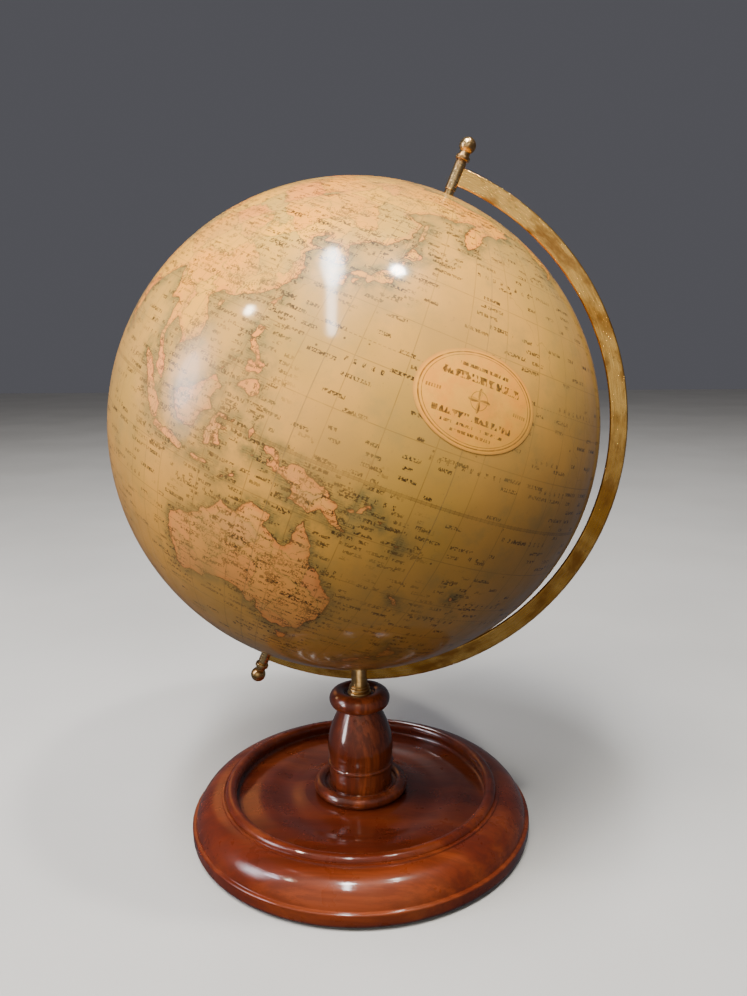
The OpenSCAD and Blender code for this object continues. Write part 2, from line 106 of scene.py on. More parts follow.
# ---- Coasts: simplified outlines typed in from general knowledge of geography, not from a map file.
# Longitude, latitude, longitude, latitude..., in degrees to about a tenth.
LANDS = [
    # Australia, Tasmania
    [142.5, -10.7, 143.5, -13, 145.3, -15, 146.3, -18.8, 148.8, -20.3, 150.8, -23.4, 153.1, -25.5, 153.6, -28.6,
     152.5, -32.2, 150.8, -34.8, 150, -37.3, 147.5, -38, 146.3, -39, 144.7, -38, 143.5, -38.8, 140.8, -38,
     139.5, -36.2, 138.2, -35.5, 138.2, -34.2, 137.8, -33, 137, -34.8, 135.8, -34.8, 135, -33.5, 134, -32.6,
     131.2, -31.5, 128.5, -31.8, 126, -32.3, 124, -33.2, 123.5, -34, 120, -34, 118, -35, 115.2, -34.3,
     115.7, -32, 114.8, -29.2, 113.5, -26.4, 113.8, -23, 114.2, -21.8, 116.8, -20.6, 119.3, -20, 121.5, -19,
     122.2, -17.2, 123.6, -17, 124.5, -16, 126, -14, 128.2, -14.9, 129.6, -14.9, 130.6, -12.5, 132.6, -11.5,
     135, -12.2, 136.7, -12.2, 135.9, -13.6, 135.6, -15, 137.5, -16, 139.3, -17.4, 140.9, -17.4, 141.5, -15,
     141.7, -12.6],
    [144.8, -40.8, 148.2, -40.9, 148, -43, 146.5, -43.6, 145.3, -42.3],
    # New Guinea and the islands east of it
    [131, -0.8, 134, -0.8, 134.9, -3.2, 137.8, -1.5, 141, -2.6, 144.5, -3.8, 145.8, -5.5, 147.8, -6.1, 147, -6.8,
     148.5, -9, 150.8, -10.3, 149.5, -10.4, 147.2, -9.5, 144.5, -7.6, 142.5, -9.2, 139, -8.1, 137.8, -8.3,
     138.8, -7, 138, -5.5, 135.3, -4.4, 133, -4, 132.2, -2.8, 133.8, -2.4, 132, -1.9, 131, -1.4],
    [148.4, -5.7, 150.5, -5.5, 151.6, -4.2, 152.3, -4.3, 151.8, -5.5, 150, -6.3],
    [150.8, -2.6, 153, -4, 152.8, -4.8, 151, -3.2],
    [154.8, -5.5, 155.9, -6.3, 155.6, -6.8, 154.9, -6],
    [159.6, -9.2, 160.8, -9.6, 160.6, -9.9, 159.7, -9.7],
    [160.6, -8.3, 161.4, -9.4, 161, -9.3],
    [164, -20.1, 166, -21.3, 167, -22.3, 166.2, -22.2, 164.3, -20.8],
    [177.3, -17.6, 178.6, -17.7, 178.4, -18.2, 177.4, -18.1],
    # New Zealand
    [172.7, -34.4, 174.5, -35.5, 175.7, -36.8, 178.5, -37.7, 177.9, -39.2, 176.8, -40, 175.3, -41.6, 174.7, -41.3,
     175, -40, 173.8, -39.3, 174.8, -38.2, 174.2, -36.3],
    [172.7, -40.6, 174.2, -41.6, 173, -43.2, 171.3, -44.3, 170.6, -45.9, 168.6, -46.6, 166.6, -45.9, 168.3, -44.1,
     171.2, -42.4],
    # East Indies
    [109, 1.5, 111.3, 2.4, 113, 3.2, 115.5, 5.5, 116.8, 7, 119.2, 5.2, 117.8, 3.8, 118, 2.2, 119, 1, 117.5, 0.2,
     116.5, -1.5, 116, -3.6, 114.5, -4, 111.8, -3.4, 110.1, -1.6, 109.2, 0.3],
    [95.3, 5.6, 98.2, 4.2, 100.5, 2.2, 103.5, -1, 106, -3, 105.8, -5.8, 104.5, -5.8, 102.2, -3.8, 100.4, -1,
     98.7, 1.7, 96.5, 3.6],
    [105.2, -6.8, 106.8, -6, 108.5, -6.7, 110.9, -6.5, 112.8, -7, 114.5, -7.8, 114.3, -8.7, 110.5, -8.1, 107.8, -7.7],
    [119.8, 0, 120.8, 1.2, 123, 0.9, 125, 1.6, 123.5, 0.3, 120.8, 0.5, 120.2, -0.9, 121.5, -1, 123.3, -0.8,
     121.8, -1.9, 122.8, -4.5, 121.5, -4.7, 120.9, -3, 120.4, -5.5, 119.5, -5.5, 118.9, -2.8],
    [123.5, -10.3, 125.2, -9.2, 127.2, -8.4, 125.5, -9.4],
    [116.8, -8.5, 119, -8.3, 122.8, -8.2, 120, -8.9, 117, -9],
    [127.5, 0.3, 128, 2, 128.6, 0.5, 128, -0.8],
    [128, -3.1, 130.7, -3.2, 129.5, -3.5],
    # Philippines, Formosa, Hainan, Ceylon
    [120.6, 18.4, 122.2, 18.4, 121.6, 15.9, 124, 13, 123.8, 12.7, 121, 13.7, 120, 16.2],
    [122, 7, 123.5, 8.7, 125.5, 9.7, 126.5, 7.5, 125.4, 5.7, 124, 6.7],
    [124.3, 12.5, 125.4, 12.2, 125.2, 10.4, 122.2, 9.8, 122, 11.8, 123, 11.5],
    [117.3, 8.3, 119.5, 11.2, 118.8, 9.8],
    [120.2, 23.2, 121.6, 25.3, 121, 22.3],
    [108.7, 19.3, 110.8, 20, 109.5, 18.2],
    [79.8, 8, 80.2, 9.7, 81.8, 7.3, 80.6, 6],
    # Japan, Sakhalin
    [130.9, 33.9, 132.5, 35.4, 135.8, 35.6, 137.3, 37.4, 139.4, 38.3, 140, 40.5, 141.3, 41.4, 142, 39.5, 140.9, 37,
     140.5, 35.2, 138.8, 34.7, 137, 34.6, 135.8, 33.5, 135, 34.6, 132.5, 34.2],
    [129.8, 33.3, 131.6, 33.5, 131.4, 31.5, 130.3, 31.2],
    [132.4, 33.6, 134.5, 34.2, 133, 32.8],
    [140.2, 41.5, 141.6, 45.4, 145.3, 43.9, 143.3, 42.1, 141, 42.4],
    [142, 46, 143.5, 49.2, 143.2, 52, 143.2, 54.2, 142.4, 53.4, 141.9, 50, 142.1, 47.5],
    # Europe and Asia
    [25.7, 71, 31, 70.3, 36, 69, 41, 67.2, 40, 66.2, 34.5, 66.7, 33.5, 66.5, 37.5, 63.9, 40.2, 64.7, 44, 66,
     43.8, 68.4, 46, 68, 53.5, 68.5, 59, 68.6, 65, 69, 67.5, 68.8, 67, 71.2, 69, 72.8, 72.5, 72.8, 72, 70,
     73.5, 68, 71.5, 66.4, 74, 67.6, 75, 72.3, 80, 72.6, 87, 75, 98, 76.2, 104.5, 77.6, 113, 75.8, 107, 73.3,
     113.5, 73.5, 122, 73, 128, 73, 130, 71, 140, 72.6, 150, 71.5, 160, 70, 170, 70, 177, 69.3, 184, 67.5,
     190, 66, 187, 64.4, 181, 65.4, 178, 64.5, 179, 62.6, 174, 61.8, 170, 60, 166, 60, 163.2, 58.2, 162, 55.5,
     160, 53.2, 156.8, 51, 155.6, 54, 155.8, 56.8, 159, 60, 163.5, 62.4, 160.5, 61.7, 156, 61.3, 152, 59.2,
     145, 59.4, 140, 57.5, 135.2, 54.8, 138, 53.8, 141, 53, 140.3, 50, 140.4, 47.8, 137, 45.2, 135, 43.3,
     132, 43.2, 130.5, 42.3, 127.6, 39.8, 129.4, 37, 129.2, 35.3, 126.4, 34.5, 126.7, 36.8, 125, 38, 125, 39.6,
     121.3, 39, 121.8, 40.9, 118, 39.1, 119, 37.2, 122.5, 37.2, 119.3, 35, 121.8, 31.7, 121.9, 29.5, 119.7, 26,
     117, 23.6, 113.5, 22.2, 110.3, 21, 108, 21.6, 105.8, 19, 108.8, 15.5, 109.2, 11.8, 107, 10.4, 105, 8.7,
     105, 10.3, 102.6, 12, 100.9, 13.4, 100, 12.5, 99.3, 9.4, 101, 6.8, 103.4, 4.4, 104.2, 1.4, 101.4, 2.8,
     100.2, 6.3, 98.4, 8.2, 98.6, 11.8, 97.6, 16.5, 94.3, 16, 94.2, 18.8, 92, 21.2, 91.4, 22.8, 88.3, 21.7,
     86.9, 20.8, 82.3, 16.7, 80.2, 15.4, 80.2, 13, 79.8, 10.3, 77.6, 8.1, 76.3, 10, 74.5, 14, 72.8, 19,
     72.7, 21.2, 70.5, 20.8, 69, 22.3, 70.3, 23, 67.4, 23.9, 66.5, 25.4, 61.6, 25.2, 57.3, 25.8, 56.4, 27.1,
     51.5, 27.9, 50.2, 30, 48, 30, 48.5, 28.2, 50.2, 26.5, 51.4, 24.6, 54, 24.1, 56.3, 26.2, 56.8, 24.2,
     59.8, 22.4, 57.8, 18.9, 55, 17, 52, 15.4, 45, 12.8, 43.3, 12.7, 42.8, 16, 39.2, 21, 37.2, 24.8, 34.6, 28.1,
     32.6, 29.9, 32.3, 31.2, 34.3, 31.3, 35.8, 35, 36, 36.8, 32.5, 36.1, 30.6, 36.8, 27.3, 36.8, 26.2, 39.3,
     29, 41, 33, 42, 36, 41.7, 41.5, 41.5, 38, 44.4, 38.5, 46.5, 35, 46.2, 36.5, 45.2, 33.6, 44.4, 32.5, 46,
     30.5, 46.2, 28.6, 43.6, 28, 41.9, 26, 40.8, 23.8, 40, 24, 38, 22.8, 36.5, 21.3, 37.7, 19.4, 41.3, 16, 43.5,
     13.7, 45.5, 12.3, 45, 13.6, 43.5, 16, 41.9, 18.4, 40, 17, 40.5, 15.8, 38, 16, 39.8, 14, 40.8, 11, 42.4,
     9, 44.4, 5, 43.4, 3.1, 42.5, 0.7, 40.8, -0.3, 38.8, -2.2, 36.8, -5.5, 36, -8.9, 37, -9.4, 38.7, -8.8, 43.2,
     -2, 43.4, -1.2, 46, -4.5, 48.3, -1.5, 48.7, -1.6, 49.7, 2, 51, 4.7, 53, 8.3, 53.7, 8.2, 57, 10.6, 57.7,
     10, 54.6, 14, 54, 19, 54.4, 21.3, 57.2, 24, 57.2, 23.6, 59.2, 29.5, 59.9, 22.5, 60.4, 21.5, 63, 25.3, 65,
     22, 65.7, 17.3, 61.5, 18.5, 59.5, 16.4, 56.6, 14, 55.5, 11.3, 59, 7, 58.1, 5, 61.5, 12, 66, 18, 69.5],
    [-5.6, 50.1, 1.3, 51.2, 1.7, 52.7, 0, 53.5, -1.6, 55.5, -2, 57.6, -3.2, 58.6, -5, 58.6, -5.6, 56.3, -3, 54.8,
     -4.5, 53, -5.2, 51.7, -3, 51.4],
    [-10, 51.7, -6.2, 52.3, -5.8, 54.6, -8, 55.2, -9.9, 53.8],
    [-24, 65.5, -22, 66.4, -16, 66.5, -13.7, 65, -18.8, 63.4, -22.5, 63.9],
    [51.5, 71.5, 56, 73.8, 68, 76.8, 60, 76, 53.5, 73],
    [11, 79, 20, 80.2, 27, 80, 17, 76.7],
    # Africa, Madagascar
    [32.3, 31.2, 32.6, 29.9, 35.5, 24, 37.3, 20.8, 38.5, 18, 43.2, 12.3, 44, 10.5, 51.2, 11.8, 50, 8, 46, 2.5,
     41.5, -2, 39.3, -4.8, 39.5, -8, 40.6, -15, 36.5, -18.5, 35.2, -24, 32.8, -26, 32, -29, 28, -33, 24, -34,
     20, -34.8, 18.3, -34, 18, -31.5, 15, -26.5, 14.4, -22, 11.8, -17, 13.8, -11, 12.3, -6, 9, -1, 9.5, 3.8,
     6, 4.3, 4, 6.3, -2, 4.8, -7.6, 4.4, -13, 8.6, -16.7, 12.5, -17.4, 14.8, -16.2, 19, -17, 21.5, -14.5, 26,
     -11.5, 28.2, -9.7, 31, -6, 35.8, -2, 35.2, 5, 36.8, 10, 37.3, 11, 36.8, 10.2, 34.3, 15.2, 32.3, 19, 30.3,
     20, 32.7, 23, 32.6, 29, 30.9],
    [49.3, -12, 50.4, -15.5, 49.4, -18, 47, -25, 45, -25.5, 43.5, -23, 44.3, -20, 44, -17, 46.5, -15.6],
    # Greenland and the Americas
    [-73, 78.3, -62, 82.2, -32, 83.5, -20, 81, -19, 76, -22, 72, -26, 68.5, -38, 65.6, -43.5, 60, -50, 62.5,
     -53.5, 67, -51, 70, -58, 75.5, -68, 76],
    [-168, 65.7, -162, 66.5, -166, 68.4, -156.6, 71.3, -141, 69.7, -128, 70.3, -115, 68.3, -108, 68, -96, 68,
     -94, 71.5, -85, 69.5, -82, 67, -87, 64.5, -94, 61, -94.5, 58.8, -92.5, 57, -82.3, 55.2, -79, 51.5,
     -78.8, 54.8, -77, 57.5, -78, 62.3, -72, 61.5, -66, 58.6, -61.5, 56, -56, 52, -60, 50.2, -66.5, 50.2,
     -65, 48.7, -64.5, 46.3, -60.2, 46, -66, 43.6, -67, 44.8, -70, 43.3, -70, 41.7, -74, 40.5, -76, 37,
     -75.7, 35.3, -79, 33, -81.3, 31, -80.2, 26, -81.2, 25.3, -82.8, 28, -84, 30, -89, 30.3, -94, 29.5,
     -97.2, 27.5, -97.6, 22.5, -95.5, 18.8, -91, 18.6, -90.3, 21, -87, 21.5, -88.3, 18, -88.5, 15.8, -83.3, 15,
     -83.8, 11, -81, 8.9, -77.3, 8.6, -80.3, 7.4, -83.5, 8.5, -85.8, 10.3, -87.5, 13, -94, 16.2, -99.5, 16.6,
     -105.5, 20, -106.5, 23.3, -112.5, 29.5, -114.7, 31.7, -113, 28.5, -109.5, 23.1, -112.2, 26, -115.7, 30,
     -117.3, 33, -120.6, 34.6, -124.2, 40.3, -124.2, 46, -123, 49, -128, 51, -133.5, 56, -139, 59.7,
     -146, 60.8, -152, 59.2, -158, 56.3, -164.5, 54.6, -157.5, 58.6, -162, 59.5, -165.5, 61.8, -161, 64.4],
    [-80, 73.5, -73, 71, -62, 66.5, -65.5, 62.5, -72, 64.5, -78, 65, -72.5, 68, -89, 71.3, -89, 73.5],
    [-117, 70, -105, 68.8, -101, 69.8, -107, 73, -117, 73],
    [-89, 76.5, -78, 76.5, -62, 82, -70, 83, -90, 81.5],
    [-125, 71.5, -116, 73.3, -123, 74.3],
    [-59, 47.7, -53, 46.8, -53.5, 49.3, -56, 51.5],
    [-84.8, 22, -80, 23.1, -74.3, 20.2, -78, 20],
    [-74.3, 18.4, -72.5, 19.9, -68.6, 18.6],
    [-77.3, 8.6, -75.5, 10.7, -71.8, 12.3, -71.5, 10.8, -68, 11, -62, 10.6, -57.5, 6.3, -51.5, 4.4, -50, 0.5,
     -44.5, -2.6, -39.5, -3, -35.2, -5.3, -35, -8.7, -39, -13.5, -39.5, -18.5, -41.5, -22.2, -48, -25.7,
     -48.8, -28.5, -53.3, -33.7, -58.3, -34, -57, -36.8, -62, -39, -65, -41, -63.7, -42.6, -67.5, -46,
     -65.8, -48, -69, -51, -68.5, -53.3, -65.3, -54.8, -71, -55, -74.5, -51.5, -75.5, -47, -73, -42,
     -73.5, -37.3, -71.5, -31, -70.3, -20, -76, -14.2, -81.2, -6, -80, -2.7, -80, 0.7, -77.3, 4, -78.5, 7.4],
    # Antarctica, closed over the pole
    [-180, -78, -160, -77, -130, -74, -100, -72.5, -75, -72, -66, -66, -58, -64, -61, -72, -50, -78, -35, -77.5,
     -15, -72, 10, -70, 50, -67, 75, -69, 90, -66.5, 120, -66.8, 145, -67, 165, -71, 165, -77.5, 180, -78,
     180, -90, -180, -90],
]
LAKES = [
    [47, 43, 51, 47, 53, 45.3, 51.5, 43, 53.8, 40.8, 53.8, 37, 50, 37.5, 49.5, 40.3],
    [58.3, 45, 60, 46.5, 61, 44.5, 59, 43.8],
    [104, 51.6, 109.5, 55.5, 109, 53, 106, 51.5],
    [-92, 46.7, -86, 48.6, -84, 46.5, -82, 45, -83, 43.2, -87, 42, -88, 45],
    [-83, 41.6, -76.5, 43.9, -79, 43],
    [31.8, -2, 32, 0.3, 34, 0, 33.5, -2.5],
]


def outline(flat):
    return np.array(flat, float).reshape(-1, 2)


def inside(points, lon, lat):
    """True where (lon, lat) lies inside the closed outline."""
    x1, y1 = points.T
    x2, y2 = np.roll(points, -1, 0).T
    hit = np.zeros(lon.shape, bool)
    for a, b, c, d in zip(x1, y1, x2, y2):
        if b != d:
            hit ^= ((b > lat) != (d > lat)) & (lon < a + (lat - b) * (c - a) / (d - b))
    return hit


def coast_chain():
    """Dense points along every coast, with the two ends of the short chord that each one starts."""
    start, end = [], []
    for flat in LANDS + LAKES:
        p = outline(flat)
        for a, b in zip(p, np.roll(p, -1, 0)):
            over_pole = min(a[1], b[1]) < -88 or (abs(a[0]) == 180 and abs(b[0]) == 180)
            if over_pole:
                continue
            steps = max(1, int(np.hypot(*(b - a)) / 0.5))
            t = np.linspace(0, 1, steps + 1)[:, None]
            line = earth(*(a + (b - a) * t).T)
            start.append(line[:-1])
            end.append(line[1:])
    return np.concatenate(start), np.concatenate(end)


CHORD_A, CHORD_B = coast_chain()
CHORD_MID = (CHORD_A + CHORD_B) / 2


def coast_distance(unit):
    """Signed distance to the nearest coast in degrees, positive on land."""
    flat = unit.reshape(-1, 3)
    lon = np.degrees(np.arctan2(flat[:, 1], flat[:, 0])) % 360
    lat = np.degrees(np.arcsin(np.clip(flat[:, 2], -1, 1)))
    land = np.zeros(len(flat), bool)
    for sign, shapes in ((True, LANDS), (False, LAKES)):
        for shape in shapes:
            p = outline(shape)
            found = inside(p, lon, lat) | inside(p, lon - 360, lat)
            land = np.where(found, sign, land)
    far = np.empty(len(flat))
    for i in range(0, len(flat), 4000):
        part = flat[i:i + 4000]
        near = np.argmax(part @ CHORD_MID.T, axis=1)
        a, b = CHORD_A[near], CHORD_B[near]
        t = np.clip(((part - a) * (b - a)).sum(1) / ((b - a) ** 2).sum(1), 0, 1)[:, None]
        far[i:i + 4000] = np.linalg.norm(part - (a + (b - a) * t), axis=1)
    far = np.degrees(far)
    return np.where(land, far, -far).reshape(unit.shape[:-1])


# ---- Paper skins -----------------------------------------------------------
def grid_faces(rows, cols, first, wrap, flip):
    r, c = np.meshgrid(np.arange(rows - 1), np.arange(cols if wrap else cols - 1), indexing="ij")
    right = (c + 1) % cols
    quad = np.stack([r * cols + c, r * cols + right, (r + 1) * cols + right, (r + 1) * cols + c], -1)
    quad = quad.reshape(-1, 4) + first
    return quad[:, ::-1] if flip else quad


def rim_faces(outer, inner, closed):
    """Quads that join an outer edge to the inner edge under it."""
    if closed:
        outer, inner = np.append(outer, outer[0]), np.append(inner, inner[0])
    return np.stack([outer[1:], outer[:-1], inner[:-1], inner[1:]], -1)


def make_piece(name, points, faces, material, body, replaced, values):
    mesh = bpy.data.meshes.new(name)
    mesh.from_pydata(points.tolist(), [], [f.tolist() if hasattr(f, "tolist") else f for f in faces])
    mesh.validate()
    for key, data in values.items():
        kind = "FLOAT_VECTOR" if data.ndim == 2 else "FLOAT"
        layer = mesh.attributes.new(key, kind, "POINT")
        layer.data.foreach_set("vector" if data.ndim == 2 else "value", data.astype(np.float32).ravel())
    mesh.polygons.foreach_set("use_smooth", [True] * len(mesh.polygons))
    mesh.materials.append(material)
    mesh.set_sharp_from_angle(angle=math.radians(40))
    piece = bpy.data.objects.new(name, mesh)
    bpy.context.scene.collection.objects.link(piece)
    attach(piece, body)
    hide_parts(replaced)


def skin_piece(name, lon, lat, wrap, material, replaced):
    """A closed skin of map paper over a patch of the ball."""
    unit = earth(*np.meshgrid(lon, lat))
    rows, cols = len(lat), len(lon)
    count = rows * cols
    direction = to_row(unit).reshape(-1, 3)
    points = np.concatenate([BALL + direction * PAPER_OUT, BALL + direction * PAPER_IN])
    faces = [*grid_faces(rows, cols, 0, wrap, False), *grid_faces(rows, cols, count, wrap, True)]
    index = np.arange(count).reshape(rows, cols)
    edges = [(index[0], wrap), (index[-1][::-1], wrap)]
    if not wrap:
        edges += [(index[:, -1], False), (index[::-1, 0], False)]
    for edge, closed in edges:
        faces += [*rim_faces(edge, edge + count, closed)]
    coast = coast_distance(unit).ravel()
    values = {"earth": np.tile(unit.reshape(-1, 3), (2, 1)), "coast": np.tile(coast, 2)}
    make_piece(name, points, faces, material, "globe", replaced, values)


def label_piece(name, material, replaced):
    """The oval title paper over the gores."""
    rings, spokes = 22, 96
    up = earth(LABEL_LONGITUDE, LABEL_LATITUDE + 90)
    out = earth(LABEL_LONGITUDE, LABEL_LATITUDE)
    east = np.cross(up, out)
    t, a = np.meshgrid(np.arange(1, rings + 1) / rings, np.arange(spokes) * 2 * np.pi / spokes, indexing="ij")
    flat = np.concatenate([[[0, 0]], np.stack([t * np.cos(a), t * np.sin(a)], -1).reshape(-1, 2)])
    radius = (LABEL_OUT + LABEL_IN) / 2
    x, y = flat[:, :1] * LABEL_HALF_W / radius, flat[:, 1:] * LABEL_HALF_H / radius
    unit = out * np.sqrt(1 - x * x - y * y) + east * x + up * y
    direction = to_row(unit)
    count = len(flat)
    points = np.concatenate([BALL + direction * LABEL_OUT, BALL + direction * LABEL_IN])
    faces = []
    for first, flip in ((0, False), (count, True)):
        faces += [*grid_faces(rings, spokes, first + 1, True, not flip)]
        for k in range(spokes):
            fan = [first, first + 1 + k, first + 1 + (k + 1) % spokes]
            faces.append(fan[::-1] if flip else fan)
    edge = np.arange(spokes) + 1 + (rings - 1) * spokes
    faces += [*rim_faces(edge[::-1], edge[::-1] + count, True)]
    oval = np.concatenate([flat, np.zeros((count, 1))], 1)
    values = {"earth": np.tile(unit, (2, 1)), "oval": np.tile(oval, (2, 1))}
    make_piece(name, points, faces, material, "globe", replaced, values)


# ---- Node materials --------------------------------------------------------
class Look:
    """One node material. Each method adds a node and gives back its output socket."""

    def __init__(self, name):
        self.material = bpy.data.materials.new(name)
        self.material.use_nodes = True
        self.tree = self.material.node_tree
        self.shader = self.tree.nodes["Principled BSDF"]

    def put(self, socket, value):
        if isinstance(value, bpy.types.NodeSocket):
            self.tree.links.new(value, socket)
        else:
            socket.default_value = value

    def node(self, kind, inputs, out=0, **settings):
        made = self.tree.nodes.new("ShaderNode" + kind)
        for key, value in settings.items():
            setattr(made, key, value)
        for key, value in inputs.items():
            self.put(made.inputs[key], value)
        return made.outputs[out]

    def math(self, operation, a, b=0.0, c=0.0):
        return self.node("Math", {0: a, 1: b, 2: c}, operation=operation)

    def both(self, a, b):
        return self.math("MULTIPLY", a, b)

    def gap(self, a, b):
        """How far apart two values are."""
        return self.math("ABSOLUTE", self.math("SUBTRACT", a, b))

    def over(self, ink, marks, weight):
        """The ink printed so far with marks of some weight over it."""
        return self.math("MAXIMUM", ink, self.both(marks, weight))

    def vector(self, operation, a, b=(0, 0, 0), out=0):
        return self.node("VectorMath", {0: a, 1: b}, out, operation=operation)

    def split(self, v):
        made = self.tree.nodes.new("ShaderNodeSeparateXYZ")
        self.put(made.inputs[0], v)
        return made.outputs

    def join(self, x, y, z):
        return self.node("CombineXYZ", {0: x, 1: y, 2: z})

    def object_place(self):
        return self.node("TexCoord", {}, "Object")

    def attribute(self, name, out):
        return self.node("Attribute", {}, out, attribute_name=name)

    def noise(self, at, scale, detail=2.0, roughness=0.5, out=0):
        return self.node("TexNoise", {"Vector": at, "Scale": scale, "Detail": detail, "Roughness": roughness}, out)

    def ramp(self, value, low, high, first=0.0, last=1.0):
        """Smooth step from first to last as value goes from low to high."""
        inputs = {"Value": value, "From Min": low, "From Max": high, "To Min": first, "To Max": last}
        return self.node("MapRange", inputs, interpolation_type="SMOOTHSTEP")

    def mix(self, amount, a, b):
        return self.node("Mix", {0: amount, 6: a, 7: b}, 2, data_type="RGBA")

    def colours(self, value, stops, interpolation="LINEAR"):
        made = self.tree.nodes.new("ShaderNodeValToRGB")
        made.color_ramp.interpolation = interpolation
        elements = made.color_ramp.elements
        while len(elements) < len(stops):
            elements.new(0.5)
        for element, (place, colour) in zip(elements, stops):
            element.position = place
            element.color = (*colour, 1)
        self.put(made.inputs[0], value)
        return made.outputs[0]

    def finish(self, colour, roughness, bumps=(), **constants):
        """Sets the shader. bumps are (height socket, distance in metres, strength)."""
        self.put(self.shader.inputs["Base Color"], colour)
        self.put(self.shader.inputs["Roughness"], roughness)
        normal = None
        for height, distance, strength in bumps:
            inputs = {"Height": height, "Distance": distance, "Strength": strength}
            if normal is not None:
                inputs["Normal"] = normal
            normal = self.node("Bump", inputs)
        if normal is not None:
            self.put(self.shader.inputs["Normal"], normal)
        for key, value in constants.items():
            self.shader.inputs[key.replace("_", " ")].default_value = value
        return self.material


def rgb(r, g, b):
    return (r, g, b, 1)


SEA_TAN = rgb(0.66, 0.328, 0.058)
SEA_OLIVE = rgb(0.49, 0.275, 0.052)
INK = rgb(0.026, 0.012, 0.005)
HALO = rgb(0.115, 0.118, 0.046)
LAND_TINTS = [(0.0, (0.86, 0.33, 0.022)), (0.35, (0.88, 0.40, 0.024)), (0.62, (0.84, 0.28, 0.034)),
              (0.84, (0.60, 0.34, 0.055))]
SOUTH_PINK = rgb(0.82, 0.34, 0.13)


def aged(look, e, colour, depth=1.0):
    """Old varnish: broad mottling, small stains and specks over a colour."""
    broad = look.ramp(look.noise(e, 2.6, 4.0, 0.6), 0.35, 0.7)
    colour = look.mix(look.both(broad, 0.5 * depth), colour, rgb(0.42, 0.235, 0.065))
    patch = look.ramp(look.noise(e, 9.0, 5.0, 0.65), 0.48, 0.72)
    colour = look.mix(look.both(patch, 0.38 * depth), colour, rgb(0.31, 0.22, 0.07))
    stain = look.ramp(look.noise(e, 31.0, 5.0, 0.7), 0.60, 0.78)
    colour = look.mix(look.both(stain, 0.34 * depth), colour, rgb(0.26, 0.15, 0.06))
    speck = look.ramp(look.noise(e, 230.0, 2.0, 0.5), 0.70, 0.76)
    return look.mix(look.both(speck, 0.45 * depth), colour, rgb(0.12, 0.07, 0.03))


def varnish_bumps(look, e):
    wavy = look.noise(e, 7.0, 2.0, 0.5)
    laid = look.noise(e, 160.0, 3.0, 0.6)
    return [(wavy, 0.0009, 0.35), (laid, 0.00009, 0.35)]


def line(look, distance, half, soft):
    """1 within half of a line, fading to 0 over soft."""
    return look.ramp(distance, half, half + soft, 1.0, 0.0)


def dash_rows(look, lon, lat, cell_w, cell_h, half_h, share, seed, spaced=0.0, pitch=3.4):
    """Rows of tiny broken dashes that follow the parallels, in place of the printed names."""
    row = look.math("FLOOR", look.math("DIVIDE", lat, cell_h))
    middle = look.both(look.math("ADD", row, 0.5), cell_h)
    along = look.both(lon, look.math("COSINE", look.math("RADIANS", middle)))
    along = look.math("ADD", along, look.both(look.math("SINE", look.both(row, 7.31)), cell_w))
    cell = look.math("FLOOR", look.math("DIVIDE", along, cell_w))
    chance = look.split(look.node("TexWhiteNoise", {"Vector": look.join(cell, row, seed)}, "Color",
                                  noise_dimensions="3D"))
    inside_x = look.math("FRACT", look.math("DIVIDE", along, cell_w))
    inside_y = look.gap(look.math("FRACT", look.math("DIVIDE", lat, cell_h)), 0.5)
    shown = look.math("GREATER_THAN", chance[0], 1.0 - share)
    short = look.math("LESS_THAN", inside_x, look.math("MULTIPLY_ADD", chance[1], 0.65, 0.2))
    flat = look.math("LESS_THAN", inside_y, half_h)
    grain = look.noise(look.join(look.both(along, pitch), look.both(lat, 1.7), row), 1.0, 1.0, 0.5)
    broken = look.ramp(grain, 0.44, 0.54)
    if spaced:
        broken = look.both(broken, look.math("LESS_THAN", look.math("PINGPONG", along, spaced), spaced * 0.36))
    return look.both(look.both(shown, short), look.both(flat, broken))


